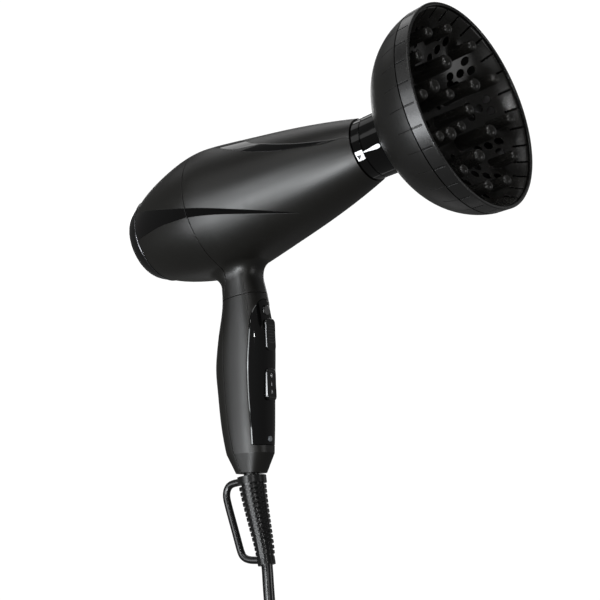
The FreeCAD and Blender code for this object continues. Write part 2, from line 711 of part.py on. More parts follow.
def clamp_rod(rad, length, y, z):
    return Part.makeCylinder(rad, length, Vec(CLAMP_SCREW_AT, y, z), Z_DIR)


clamp = Part.makeBox(6.0, 15.0, 10.4, Vec(176.6, -7.5, -5.2))
clamp = clamp.cut(x_rod(CORD_RAD + 0.08, 175, 187))
clamp = cut_all(clamp, [clamp_rod(1.05, 12, y, -6) for y in CLAMP_SCREW_Y])
feature("cord_clamp", to_grip(biggest(clamp)))
feature("clamp_screws", to_grip(Part.makeCompound([
    clamp_rod(1.0, 8, y, -3.0).fuse(clamp_rod(1.5, 1.2, y, 5.2)).Solids[0]
    for y in CLAMP_SCREW_Y])))

# ---------------------------------------------------------------- nozzle, grille and heater
turned_piece("nozzle_ring", -100.0, [
    (0, 18.6), (0, 21.0), (13.6, 21.0), (13.6, 20.7), (14.3, 20.7), (14.5, 22.0), (14.8, 22.3),
    (21.3, 22.3), (21.3, 19.85), (33.6, 19.85), (34.4, 19.2), (34.4, 18.6)])
grille_holes = (rod_ring(2.0, -74, -69, 6.2, spread(6))
                + rod_ring(2.3, -74, -69, 13.4, spread(12, 15)))
feature("outlet_grille", biggest(cut_all(x_rod(18.5, -72.6, -71.0), grille_holes)))
turned_piece("heat_shield_tube", -168.0, [(0, 20.3), (0, 21.9), (66.5, 21.9), (66.5, 20.3)])
turned_piece("mica_sleeve", -165.0, [(0, 19.6), (0, 20.2), (62, 20.2), (62, 19.6)])

flat_plate = box_object("mica_plate_flat", (52.0, 30.0, 1.0), place_at(-160, -15.0, -0.5))
tall_plate = box_object("mica_plate_tall", (52.0, 1.0, 30.0), place_at(-160, -0.5, -15.0))
cross = doc.addObject("Part::Fuse", "mica_cross")
cross.Base = flat_plate
cross.Tool = tall_plate
keep(cross, "mica_cross")

# heater coil: closed rings joined by short links on alternate sides, with two end leads
HEATER_RAD, HEATER_RINGS, HEATER_PITCH, LINK_RAD = 17.0, 9, 5.2, 0.6
heater = []
for k in range(HEATER_RINGS):
    ring_x = -158.0 + HEATER_PITCH * k
    heater.append(Part.makeTorus(HEATER_RAD, 0.75, Vec(ring_x, 0, 0), X_DIR))
    if k < HEATER_RINGS - 1:
        heater += rod_ring(LINK_RAD, ring_x, ring_x + HEATER_PITCH, HEATER_RAD,
                           [45 if k % 2 else 225])
heater += rod_ring(LINK_RAD, -163.0, -158.0, HEATER_RAD, (45, 225))
feature("heater_coil", biggest(heater[0].fuse(heater[1:])))
box_piece("thermostat", (9.0, 6.0, 6.0), place_at(-150, 3.0, 3.0))
cylinder_piece("thermal_fuse", 1.7, 11.0, place_facing(Vec(-152, -6.0, 5.0), X_DIR))

# ---------------------------------------------------------------- motor mount
MOTOR_SCREW_PITCH_RAD = 9.0


def motor_screw_rods(rad, x_start, x_end):
    return rod_ring(rad, x_start, x_end, MOTOR_SCREW_PITCH_RAD, spread(2, 90))


duct = x_tube(36.4, 35.2, -232, -176)
cup = x_rod(17.2, -206, -174).cut(x_rod(15.4, -204.4, -173)).cut(x_rod(6.0, -207, -203))
vanes = spin(Part.makeBox(22.0, 1.4, 19.4, Vec(-201, -0.7, 16.6)), spread(7))
# three ribs carry the duct in the housing
ribs = spin(Part.makeBox(6.0, 2.0, 8.0, Vec(-214, -1.0, 35.8)), spread(3, 60))
mount = cut_all(duct.fuse(cup).fuse(vanes + ribs), motor_screw_rods(1.05, -208, -203))
feature("motor_mount", biggest(mount))

# ---------------------------------------------------------------- motor
can = turned_polygon([(-204.2, 3.1), (-204.2, 15.2), (-176.0, 15.2), (-176.0, 3.1),
                      (-177.0, 3.1), (-177.0, 14.2), (-203.2, 14.2), (-203.2, 3.1)])
feature("motor_can", biggest(cut_all(can, motor_screw_rods(1.05, -205, -202))))
feature("motor_screws", Part.makeCompound([
    shank.fuse(head).Solids[0]
    for shank, head in zip(motor_screw_rods(1.0, -207.0, -203.0),
                           motor_screw_rods(1.9, -208.2, -206.1))]))
magnet_gap = Part.makeBox(20, 40, 6, Vec(-202, -20, -3))
magnets = x_tube(14.1, 10.9, -200.0, -184.0).cut(magnet_gap)
feature("motor_magnets", Part.makeCompound(magnets.Solids))
for label, x_start in (("bearing_rear", -205.4), ("bearing_front", -178.2)):
    turned_piece(label, x_start, [(0, 1.2), (0, 3.05), (3.4, 3.05), (3.4, 1.2)])
feature("carbon_brushes", Part.makeCompound([
    Part.makeBox(3.0, 2.4, 6.5, Vec(-182.4, -1.2, z)) for z in (4.06, -10.56)]))
SHAFT_RAD = 1.15
cylinder_piece("motor_shaft", SHAFT_RAD, 55.0, place_facing(Vec(-228, 0, 0), X_DIR))
armature = cut_all(x_tube(10.4, SHAFT_RAD, -199.0, -185.0),
                   rod_ring(1.6, -200, -184, 9.4, spread(6)))
feature("armature", biggest(armature))
turned_piece("commutator", -184.4, [(0, SHAFT_RAD), (0, 4.0), (5.6, 4.0), (5.6, SHAFT_RAD)])

# ---------------------------------------------------------------- fan
hub = turned_polygon([(-227.0, SHAFT_RAD), (-227.0, 6.0), (-223.0, 11.0), (-210.0, 13.5),
                      (-209.0, 13.5), (-209.0, SHAFT_RAD)])
blade = Part.makeBox(20.0, 1.5, 24.0, Vec(-10.0, -0.75, 10.5))
blade.rotate(ORIGIN, Z_DIR, 38)
blade.translate(Vec(-218.5, 0, 0))
blade = blade.common(x_rod(34.3, -227.5, -209.0))
fan = hub.fuse(spin(blade, spread(9))).cut(x_rod(SHAFT_RAD, -230, -205))
feature("fan_impeller", biggest(fan))

# ---------------------------------------------------------------- rear intake
turned_piece("intake_trim_ring", -271.0, [(0, 28.8), (0, 31.1), (0.8, 31.1), (0.8, 28.8)])
# (x, radius) of the cap outside and inside
CAP_OUT = [(-271.0, 30.5), (-274.0, 29.4), (-277.6, 27.5), (-280.6, 25.0), (-282.4, 21.6),
           (-283.0, 17.0)]
CAP_IN = [(-270.9, 28.3), (-274.0, 27.2), (-277.0, 25.4), (-279.2, 22.8), (-280.6, 19.0),
          (-281.0, 15.0)]
rear_cap = turned(CAP_OUT).cut(turned(CAP_IN)).fuse(x_tube(28.3, 26.8, -271.5, -262.0))
cap_slots = spin(Part.makeBox(12, 2.0, 14.0, Vec(-286, -1.0, 7.5)), spread(30))
feature("rear_cap", biggest(cut_all(rear_cap, cap_slots)))

# mesh disc: alternate rows of holes are shifted by half a pitch
MESH_PITCH, MESH_ROW = 3.4, 3.0
mesh_holes = []
for i in range(-7, 8):
    for j in range(-7, 8):
        y = MESH_PITCH * i + (MESH_PITCH / 2 if j % 2 else 0)
        z = MESH_ROW * j
        if math.hypot(y, z) < 24:
            mesh_holes.append(x_rod(1.15, -269.5, -267, y, z))
feature("filter_mesh", biggest(cut_all(x_rod(26.6, -268.6, -268.0), mesh_holes)))


# ---------------------------------------------------------------- marks on nozzle and collar
def mark_prism(points, degrees):
    """Outline of (x, sideways offset) carried out along a ray turned from -Y toward +Z."""
    angle = math.radians(degrees)
    outward = Vec(0, -math.cos(angle), math.sin(angle))
    sideways = Vec(0, math.sin(angle), math.cos(angle))
    wire = Part.makePolygon([Vec(x, 0, 0) + sideways * offset
                             for x, offset in points + points[:1]])
    return Part.Face(wire).extrude(outward * 40)


NOZZLE_MARK_ANGLE = -23.0
mark_skin = x_tube(22.3 + 0.25, 22.3, -84.9, -78.75)
tab = mark_prism([(-84.8, -3.4), (-84.8, 3.4), (-78.85, 3.4), (-78.85, -3.4)],
                 NOZZLE_MARK_ANGLE)
arrow = mark_prism([(-84.2, 0.8), (-80.5, 0.2), (-83.4, -2.4)], NOZZLE_MARK_ANGLE)
feature("nozzle_mark", biggest(mark_skin.common(tab).cut(arrow)))
feature("nozzle_mark_arrow", biggest(mark_skin.common(arrow)))

# ---------------------------------------------------------------- diffuser collar
turned_piece("diffuser_grip_ring", -77.2, [(0, 19.9), (0, 20.8), (10.0, 20.8), (10.0, 19.9)])
turned_piece("diffuser_collar", -78.3, [
    (0, 20.9), (0, 22.0), (0.4, 22.4), (16.6, 22.8), (20.2, 22.8), (20.2, 25.4), (21.8, 25.4),
    (21.8, 20.9)])
# (x, half width) of the drop-shaped pointer
DROP = [(-78.2, 0.45), (-74.0, 0.75), (-70.5, 1.25), (-66.5, 1.6), (-65.0, 1.35), (-64.3, 0.6)]
drop = mark_prism(DROP + [(x, -half) for x, half in reversed(DROP)], -19.6)
pointer_skin = turned_polygon([(-78.2, 22.41), (-78.2, 22.65), (-64.0, 22.98), (-64.0, 22.76)])
feature("diffuser_pointer", biggest(drop.common(pointer_skin)))

# ---------------------------------------------------------------- diffuser bowl
# (x, radius) of the bowl outside and inside
BOWL_OUT = [(-62.0, 22.9), (-57.7, 33.2), (-51.5, 44.8), (-45.0, 54.2), (-36.5, 62.7),
            (-25.5, 69.6), (-11.7, 74.1)]
BOWL_IN = [(-60.0, 22.0), (-55.6, 32.2), (-49.6, 43.4), (-43.4, 52.4), (-35.2, 60.7),
           (-24.7, 67.5), (-11.6, 72.0)]
MARK_ANGLES = spread(30, 60.5)
LINE_DEPTH = 0.22
bowl = turned(BOWL_OUT)
bowl = bowl.cut(turned(BOWL_IN).fuse([x_rod(22.85, -70, -50), x_rod(72.0, -12.0, 0)]))
# shallow lines on the outside, in step with the grooves of the rim band
lines = Part.makeCompound(spin(Part.makeBox(13.0, 0.4, 6.0, Vec(-24.5, -0.2, 69.0)), MARK_ANGLES))
feature("diffuser_bowl", biggest(bowl.cut(lines.cut(turned(offset_profile(BOWL_OUT, -LINE_DEPTH))))))

band = turned_polygon([(-11.1, 72.4), (-11.1, 73.9), (-10.85, 74.15), (-0.5, 75.0), (0.0, 74.6),
                       (0.0, 73.0), (-0.4, 72.6)])
GROOVE_RAD = 0.55      # half the groove width and its round front end
groove_side = Part.makePolygon([Vec(x, -GROOVE_RAD, z) for x, z in (
    (-11.6, 73.45), (-2.7, 74.15), (-2.7, 77.0), (-11.6, 77.0), (-11.6, 73.45))])
groove = Part.Face(groove_side).extrude(Vec(0, 2 * GROOVE_RAD, 0))
groove = groove.fuse(Part.makeCylinder(GROOVE_RAD, 2.85, Vec(-2.7, 0, 74.15), Z_DIR))
feature("diffuser_rim_band", biggest(cut_all(band, spin(groove, MARK_ANGLES))))

# ---------------------------------------------------------------- diffuser finger plate
# (x, radius) of the dish front face, rim to middle
DISH = [(-1.6, 72.3), (-6.0, 69.6), (-11.0, 66.4), (-18.0, 59.0), (-24.0, 51.0), (-29.0, 42.0),
        (-33.0, 31.0), (-35.5, 18.0), (-36.2, 4.0)]
DISH_BACK = 1.7        # the back face lies this far behind
DISH_INSET = 0.9       # and this much further in
# (count, first angle, pitch radius, root x, tip x, root radius, tip radius)
FINGERS = [(12, 0, 57.5, -26.5, -0.3, 4.55, 4.1),
           (6, -20, 34.0, -38.5, -3.6, 6.25, 5.4),
           (3, 10, 13.5, -40.5, -6.5, 5.05, 4.4)]
# (count, first angle, pitch radius) of the air holes, set between the fingers
AIR_HOLES = [(12, 11, 60.3), (12, 19, 60.3), (12, 15, 53.8), (12, 19.9, 47.2), (12, 10.1, 47.2),
             (6, 15, 41.4), (6, 45, 44.0), (6, 10, 30.0), (6, -20, 24.0), (3, 70, 13.0)]


def dish_solid():
    front = spline([Vec(x, 0, radius) for x, radius in DISH])
    min_rad = DISH[-1][1]
    back = spline([Vec(x - DISH_BACK, 0, max(radius - DISH_INSET, min_rad))
                   for x, radius in DISH])
    axis_front = Vec(DISH[-1][0], 0, 0)
    axis_back = Vec(DISH[-1][0] - DISH_BACK, 0, 0)
    wire = Part.Wire([
        front,
        Part.makeLine(front.valueAt(front.LastParameter), axis_front),
        Part.makeLine(axis_front, axis_back),
        Part.makeLine(axis_back, back.valueAt(back.LastParameter)),
        back,
        Part.makeLine(back.valueAt(back.FirstParameter), front.valueAt(front.FirstParameter))])
    return Part.Face(wire).revolve(ORIGIN, X_DIR, 360)


def finger(angle, pitch_rad, root_x, tip_x, root_rad, tip_rad):
    """Tapered finger with a ball tip, standing on the dish parallel to X."""
    y, z = on_circle(pitch_rad, angle)
    ball_x = tip_x - tip_rad
    cone = Part.makeCone(root_rad, tip_rad, ball_x - root_x, Vec(root_x, y, z), X_DIR)
    return cone.fuse(Part.makeSphere(tip_rad, Vec(ball_x, y, z), X_DIR))


fingers = [finger(angle, *sizes)
           for count, first, *sizes in FINGERS for angle in spread(count, first)]
air_holes = []
for count, first, pitch_rad in AIR_HOLES:
    air_holes += rod_ring(2.75, -45, 2, pitch_rad, spread(count, first))
air_holes.append(x_rod(2.4, -45, 2))
# slits through the dish edge stop short of the rim
slits = Part.makeCompound(spin(Part.makeBox(9.4, 1.5, 12.0, Vec(-10.6, -0.75, 64.0)),
                               spread(32, -82.5)))
plate = cut_all(dish_solid(), air_holes).cut(slits.cut(x_rod(80, -1.75, 2)))
feature("diffuser_finger_plate", biggest(plate.fuse(fingers)))

# ---------------------------------------------------------------- checks and export
doc.recompute()
faults = ["%s state %s" % (obj.Label, obj.State) for obj in doc.Objects
          if "Invalid" in obj.State or "Error" in obj.State]
for obj in PIECES:
    shape = obj.Shape
    if shape.isNull() or not shape.isValid() or not shape.Solids or shape.Volume <= 0:
        faults.append("%s has no valid solid" % obj.Label)
if faults:
    raise RuntimeError("; ".join(faults))
os.makedirs("parts", exist_ok=True)
for obj in PIECES:
    obj.Shape.exportStep("parts/%s.step" % obj.Label)
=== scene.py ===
# Hair dryer with a diffuser and a cord. +X is forward, +Y left, +Z up.
# The grip hangs down and slants toward -X; its switch panel faces forward.
import bpy
import bmesh
import json
import math
from mathutils import Vector, Matrix


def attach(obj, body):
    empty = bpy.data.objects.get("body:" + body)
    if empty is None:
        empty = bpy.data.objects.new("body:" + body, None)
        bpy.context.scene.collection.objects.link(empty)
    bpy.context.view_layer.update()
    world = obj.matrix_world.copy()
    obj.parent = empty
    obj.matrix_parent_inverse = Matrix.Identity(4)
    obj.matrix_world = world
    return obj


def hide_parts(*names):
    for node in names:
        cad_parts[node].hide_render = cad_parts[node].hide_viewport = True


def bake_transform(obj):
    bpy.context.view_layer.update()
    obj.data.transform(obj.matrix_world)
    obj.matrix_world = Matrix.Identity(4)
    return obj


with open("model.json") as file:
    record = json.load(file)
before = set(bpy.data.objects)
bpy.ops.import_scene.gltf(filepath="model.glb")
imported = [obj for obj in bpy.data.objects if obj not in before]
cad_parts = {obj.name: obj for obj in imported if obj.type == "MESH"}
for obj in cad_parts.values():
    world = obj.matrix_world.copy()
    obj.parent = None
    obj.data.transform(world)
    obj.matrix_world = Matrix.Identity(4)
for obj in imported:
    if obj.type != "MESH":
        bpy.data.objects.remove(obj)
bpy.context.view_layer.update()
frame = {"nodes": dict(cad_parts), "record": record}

scene = bpy.context.scene
nodes = frame["nodes"]

# ------------------------------------------------------------------ grip frame
GRIP_ANGLE = math.radians(103.0)  # +X turned downward to the grip axis
GRIP_ORIGIN = Vector((-0.1978, 0.0, 0.0))
DOWN = Vector((math.cos(GRIP_ANGLE), 0.0, -math.sin(GRIP_ANGLE)))  # along the grip
OUT = Vector((math.sin(GRIP_ANGLE), 0.0, math.cos(GRIP_ANGLE)))  # forward, square to the panel
LEFT = Vector((0, 1, 0))
MM = 1000.0  # millimetres in a metre


def grip_point(along, left, out):
    """World point from millimetres along the grip, to the left and out of the panel."""
    return GRIP_ORIGIN + DOWN * (along / MM) + LEFT * (left / MM) + OUT * (out / MM)


# ------------------------------------------------------------------ shader helpers
EDGE_RADIUS = 0.00045  # rounding of moulded edges, in metres
MATERIALS = {}


def new_material(name):
    material = bpy.data.materials.new(name)
    material.use_nodes = True
    MATERIALS[name] = material
    tree = material.node_tree
    return tree, tree.nodes["Principled BSDF"]


def add_node(tree, kind, **values):
    """New node; underscores in the value names stand for spaces in the input names."""
    node = tree.nodes.new(kind)
    for name, value in values.items():
        node.inputs[name.replace("_", " ")].default_value = value
    return node


def object_coords(tree, scale=(1, 1, 1)):
    source = add_node(tree, "ShaderNodeTexCoord")
    mapping = add_node(tree, "ShaderNodeMapping", Scale=scale)
    tree.links.new(source.outputs["Object"], mapping.inputs["Vector"])
    return mapping.outputs["Vector"]


def noise(tree, vector, scale, detail, rough=0.55):
    node = add_node(tree, "ShaderNodeTexNoise", Scale=scale, Detail=detail, Roughness=rough)
    tree.links.new(vector, node.inputs["Vector"])
    return node.outputs["Fac"]


def remap(tree, value, low, high, start=0.3, end=0.7):
    """Map the span start..end of a value to low..high."""
    node = add_node(tree, "ShaderNodeMapRange",
                    From_Min=start, From_Max=end, To_Min=low, To_Max=high)
    tree.links.new(value, node.inputs["Value"])
    return node.outputs["Result"]


def mix_colours(tree, factor, first, second):
    node = tree.nodes.new("ShaderNodeMix")
    node.data_type = "RGBA"
    node.inputs["A"].default_value = (*first, 1)
    node.inputs["B"].default_value = (*second, 1)
    tree.links.new(factor, node.inputs["Factor"])
    return node.outputs["Result"]


def add_bump(tree, shader, height, strength, distance):
    """Surface relief on top of slightly rounded edges."""
    relief = add_node(tree, "ShaderNodeBump", Strength=strength, Distance=distance)
    tree.links.new(height, relief.inputs["Height"])
    tree.links.new(relief.outputs["Normal"], shader.inputs["Normal"])
    edge = add_node(tree, "ShaderNodeBevel", Radius=EDGE_RADIUS)
    edge.samples = 6
    tree.links.new(edge.outputs["Normal"], relief.inputs["Normal"])


# ------------------------------------------------------------------ material families
def soft_touch(name, dark, light, rough, grain=2600.0, strength=0.22, specular=0.5, painted_shade_distance=0.0):
    """Matt moulded plastic: fine grain, slow tone drift and patches of changing roughness.

    Where a shade distance (metres) is given, grooves and hole edges within that distance get
    painted shade: ambient occlusion turns their specular down.
    """
    tree, shader = new_material(name)
    link = tree.links.new
    vector = object_coords(tree)
    slow = noise(tree, vector, scale=9.0, detail=2.0)
    patches = noise(tree, vector, scale=160.0, detail=4.0)
    fine = noise(tree, vector, scale=grain, detail=2.0, rough=0.7)
    tone = remap(tree, slow, low=0, high=1)
    link(mix_colours(tree, tone, dark, light), shader.inputs["Base Color"])

    wear = tree.nodes.new("ShaderNodeMath")  # patches * 0.35 + slow
    wear.operation = "MULTIPLY_ADD"
    link(patches, wear.inputs[0])
    wear.inputs[1].default_value = 0.35
    link(slow, wear.inputs[2])
    roughness = remap(tree, wear.outputs[0], *rough, start=0.45, end=0.9)
    link(roughness, shader.inputs["Roughness"])

    add_bump(tree, shader, fine, strength=strength, distance=0.00012)
    shader.inputs["Sheen Roughness"].default_value = 0.45
    shader.inputs["Specular IOR Level"].default_value = specular
    if painted_shade_distance:
        # painted shade: ambient occlusion darkens the shine in grooves and hole edges
        occlusion = add_node(tree, "ShaderNodeAmbientOcclusion", Distance=painted_shade_distance)
        occlusion.samples = 8
        painted_groove_shade = remap(tree, occlusion.outputs["AO"], low=0.0, high=specular, start=0.45, end=0.95)
        link(painted_groove_shade, shader.inputs["Specular IOR Level"])


def gloss(name, base, rough, coat, peel=0.05):
    """Polished moulding: coated, with faint orange peel and dust-fine roughness drift."""
    tree, shader = new_material(name)
    vector = object_coords(tree)
    slow = noise(tree, vector, scale=22.0, detail=2.0)
    ripple = noise(tree, vector, scale=260.0, detail=1.0)
    dust = noise(tree, vector, scale=1400.0, detail=3.0)
    shader.inputs["Base Color"].default_value = (*base, 1)
    tone = mix_colours(tree, slow, base, tuple(c * 1.35 for c in base))
    tree.links.new(tone, shader.inputs["Base Color"])
    roughness = remap(tree, dust, low=rough * 0.85, high=rough * 1.3, start=0.3, end=0.8)
    tree.links.new(roughness, shader.inputs["Roughness"])
    add_bump(tree, shader, ripple, strength=peel, distance=0.0002)
    shader.inputs["Coat Weight"].default_value = coat
    shader.inputs["Coat Roughness"].default_value = 0.03


def metal(name, base, rough):
    """Metal with fine streaks across Z."""
    tree, shader = new_material(name)
    streaks = noise(tree, object_coords(tree, scale=(1, 1, 40)), scale=60.0, detail=4.0)
    shader.inputs["Metallic"].default_value = 1.0
    tone = mix_colours(tree, streaks, tuple(c * 0.85 for c in base), base)
    tree.links.new(tone, shader.inputs["Base Color"])
    roughness = remap(tree, streaks, low=rough * 0.7, high=rough * 1.3)
    tree.links.new(roughness, shader.inputs["Roughness"])
    add_bump(tree, shader, streaks, strength=0.12, distance=0.0001)


def speckled(name, first, second, rough):
    """Grainy two-tone surface."""
    tree, shader = new_material(name)
    grain = noise(tree, object_coords(tree), scale=400.0, detail=5.0, rough=0.7)
    tree.links.new(mix_colours(tree, grain, first, second), shader.inputs["Base Color"])
    shader.inputs["Roughness"].default_value = rough
    add_bump(tree, shader, grain, strength=0.3, distance=0.0002)


# ------------------------------------------------------------------ materials
soft_touch("matte_black", dark=(0.0047, 0.0044, 0.0037), light=(0.0058, 0.0055, 0.0046),
           rough=(0.33, 0.42))
# bowl and band get painted shade in their grooves and hole edges
soft_touch("bowl_black", dark=(0.0044, 0.0042, 0.0038), light=(0.0055, 0.0053, 0.0048),
           rough=(0.33, 0.41), grain=3200.0, strength=0.16, painted_shade_distance=0.0012)
soft_touch("band_satin", dark=(0.0044, 0.0043, 0.0041), light=(0.0056, 0.0055, 0.0053),
           rough=(0.23, 0.29), grain=3200.0, strength=0.12, specular=0.8, painted_shade_distance=0.0016)
# finger plate: base colour over twice the other blacks', painted light that lifts the shaded
# inside of the diffuser
soft_touch("finger_black_painted_fill", dark=(0.0115, 0.0110, 0.0100), light=(0.0140, 0.0135, 0.0122),
           rough=(0.20, 0.28), grain=3200.0, strength=0.10)
gloss("gloss_black", base=(0.0022, 0.0022, 0.0022), rough=0.06, coat=0.35)
gloss("mark_white", base=(0.82, 0.82, 0.84), rough=0.25, coat=0.2, peel=0.02)
gloss("mark_dark", base=(0.003, 0.003, 0.004), rough=0.5, coat=0.0, peel=0.02)
gloss("lens", base=(0.12, 0.13, 0.14), rough=0.10, coat=0.8, peel=0.02)
gloss("knob_black", base=(0.0032, 0.0032, 0.0032), rough=0.13, coat=0.8, peel=0.02)
soft_touch("inner_plastic", dark=(0.03, 0.03, 0.032), light=(0.045, 0.045, 0.047),
           rough=(0.5, 0.6))
soft_touch("cord_pvc", dark=(0.0055, 0.0055, 0.0058), light=(0.0072, 0.0072, 0.0076),
           rough=(0.30, 0.40), grain=1500.0, strength=0.12)
gloss("cord_gloss", base=(0.0036, 0.0036, 0.0040), rough=0.14, coat=0.4, peel=0.01)
soft_touch("boot_black", dark=(0.0040, 0.0040, 0.0040), light=(0.0054, 0.0054, 0.0053),
           rough=(0.20, 0.26), grain=1500.0, strength=0.03)
soft_touch("grip_rubber", dark=(0.02, 0.02, 0.02), light=(0.03, 0.03, 0.03), rough=(0.6, 0.75))
speckled("mica", first=(0.5, 0.44, 0.3), second=(0.7, 0.64, 0.5), rough=0.35)
metal("heater_wire", base=(0.55, 0.52, 0.5), rough=0.35)
metal("steel", base=(0.62, 0.62, 0.64), rough=0.32)
metal("trim_chrome", base=(0.20, 0.20, 0.21), rough=0.22)
metal("copper", base=(0.85, 0.5, 0.3), rough=0.28)
speckled("ferrite", first=(0.05, 0.05, 0.05), second=(0.1, 0.1, 0.1), rough=0.7)
speckled("carbon", first=(0.02, 0.02, 0.02), second=(0.05, 0.05, 0.05), rough=0.6)
speckled("board", first=(0.3, 0.2, 0.08), second=(0.4, 0.28, 0.12), rough=0.45)
gloss("capacitor_body", base=(0.8, 0.62, 0.08), rough=0.2, coat=0.3)
gloss("fuse_body", base=(0.8, 0.8, 0.76), rough=0.3, coat=0.2)
gloss("wire_blue", base=(0.08, 0.14, 0.4), rough=0.3, coat=0.2)

# ------------------------------------------------------------------ dressing the CAD pieces
CREASE_ANGLE = math.radians(32)

slot_of = {part["node"]: part["material_slot"] for part in frame["record"]["subparts"]}
slot_of.update({
    "diffuser_finger_plate": "finger_black_painted_fill",
    "diffuser_rim_band": "band_satin",
    "cord_sheath": "cord_gloss",
    "cord_boot": "boot_black",
    "heat_slider": "knob_black",
    "speed_slider": "knob_black",
    "cool_shot_button": "knob_black",
})
for name, part in nodes.items():
    part.data.materials.clear()
    part.data.materials.append(MATERIALS[slot_of[name]])
    for face in part.data.polygons:
        face.use_smooth = True
    crease = part.modifiers.new("crease", "EDGE_SPLIT")
    crease.split_angle = CREASE_ANGLE


# ------------------------------------------------------------------ mesh helpers
CAST_HEIGHT = 60.0  # mm out of the grip, clear of every knob
SINK = 0.12  # mm that raised marks reach below the face


def point_on_face(node, along, left):
    """Point on a part's outer face, found by a ray square to the switch panel."""
    part = nodes[node]
    to_local = part.matrix_world.inverted()
    start = to_local @ grip_point(along, left, CAST_HEIGHT)
    heading = (to_local.to_3x3() @ (-OUT)).normalized()
    hit = part.ray_cast(start, heading)[1]
    return part.matrix_world @ hit


def mark_section(bm, node, edges, thick):
    """Four corners of a raised mark across its two (along, left) edges."""
    (low_a, high_a), (low_b, high_b) = [
        (foot - OUT * (SINK / MM), foot + OUT * (thick / MM))
        for foot in (point_on_face(node, *edge) for edge in edges)
    ]
    return [bm.verts.new(corner) for corner in (low_a, high_a, high_b, low_b)]


def skin(bm, rings, closed=False):
    """Join rings of vertices with quads, then cap the ends unless the row is closed."""
    following = rings[1:] + rings[:1] if closed else rings[1:]
    for ring, after in zip(rings, following):
        for i in range(len(ring)):
            j = (i + 1) % len(ring)
            bm.faces.new((ring[i], ring[j], after[j], after[i]))
    if not closed:
        bm.faces.new(rings[0][::-1])
        bm.faces.new(rings[-1])


def add_bar(bm, node, path, width, thick):
    """Raised bar following (along, left) points on a part's face, sizes in mm."""
    sections = []
    last = len(path) - 1
    for i, (along, left) in enumerate(path):
        before, after = path[max(i - 1, 0)], path[min(i + 1, last)]
        d_along, d_left = after[0] - before[0], after[1] - before[1]
        length = math.hypot(d_along, d_left)
        side_along = -d_left / length * width / 2
        side_left = d_along / length * width / 2
        edges = [(along + side * side_along, left + side * side_left) for side in (-1, 1)]
        sections.append(mark_section(bm, node, edges, thick))
    skin(bm, sections)


def add_oval(bm, node, centre, radii, width, thick, steps=28):
    """Raised oval ring; centre and radii are (along, left), sizes in mm."""
    sections = []
    for k in range(steps):
        turn = 2 * math.pi * k / steps
        edges = [(centre[0] + (radii[0] + side * width) * math.cos(turn),
                  centre[1] + (radii[1] + side * width) * math.sin(turn))
                 for side in (-0.5, 0.5)]
        sections.append(mark_section(bm, node, edges, thick))
    skin(bm, sections, closed=True)


def finish_mesh(name, bm, material):
    bmesh.ops.recalc_face_normals(bm, faces=bm.faces)
    mesh = bpy.data.meshes.new(name)
    bm.to_mesh(mesh)
    bm.free()
    piece = bpy.data.objects.new(name, mesh)
    scene.collection.objects.link(piece)
    mesh.materials.append(MATERIALS[material])
    return piece


def finish_mark(name, bm, material, body):
    piece = finish_mesh(name, bm, material)
    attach(piece, body)


# ------------------------------------------------------------------ knob details (mm)
HEAT_MID = 94.5  # knob middles along the grip
SPEED_MID = 129.5
NUMERAL_LENGTH = 2.5
NUMERAL_THICK = 0.05
RIDGE_HALF = 3.6
RIDGE_STEP = 0.6  # spacing of the points along a ridge


def build_numerals():
    """0, I and II down the speed knob."""
    bm = bmesh.new()
    add_oval(bm, "speed_slider", centre=(SPEED_MID - 6.2, 0.0),
             radii=(NUMERAL_LENGTH / 2, 0.85), width=0.34, thick=NUMERAL_THICK)
    # each stroke: start from the knob middle, offset to the left
    for start, left in ((-1.4, 0.0), (4.0, -0.55), (4.0, 0.55)):
        top = SPEED_MID + start
        add_bar(bm, "speed_slider", [(top, left), (top + NUMERAL_LENGTH, left)],
                width=0.38, thick=NUMERAL_THICK)
    finish_mark("speed_numerals", bm, "mark_white", "speed_knob")


def build_ridges(node, body, middle, offsets):
    """Thumb ridges across a knob, at offsets from its middle."""
    bm = bmesh.new()
    for offset in offsets:
        path = [(middle + offset, -RIDGE_HALF + RIDGE_STEP * i) for i in range(13)]
        add_bar(bm, node, path, width=0.55, thick=0.16)
    finish_mark(node + "_ridges", bm, "gloss_black", body)


build_numerals()
build_ridges("heat_slider", "heat_knob", HEAT_MID, [-6.5 + 2.0 * i for i in range(7)])
build_ridges("speed_slider", "speed_knob", SPEED_MID, (-9.2, 9.2))


# ------------------------------------------------------------------ button spring (metres)
WIRE_RADIUS = 0.00022
TURNS = 3
STEPS_PER_TURN = 26
WIRE_SIDES = 8


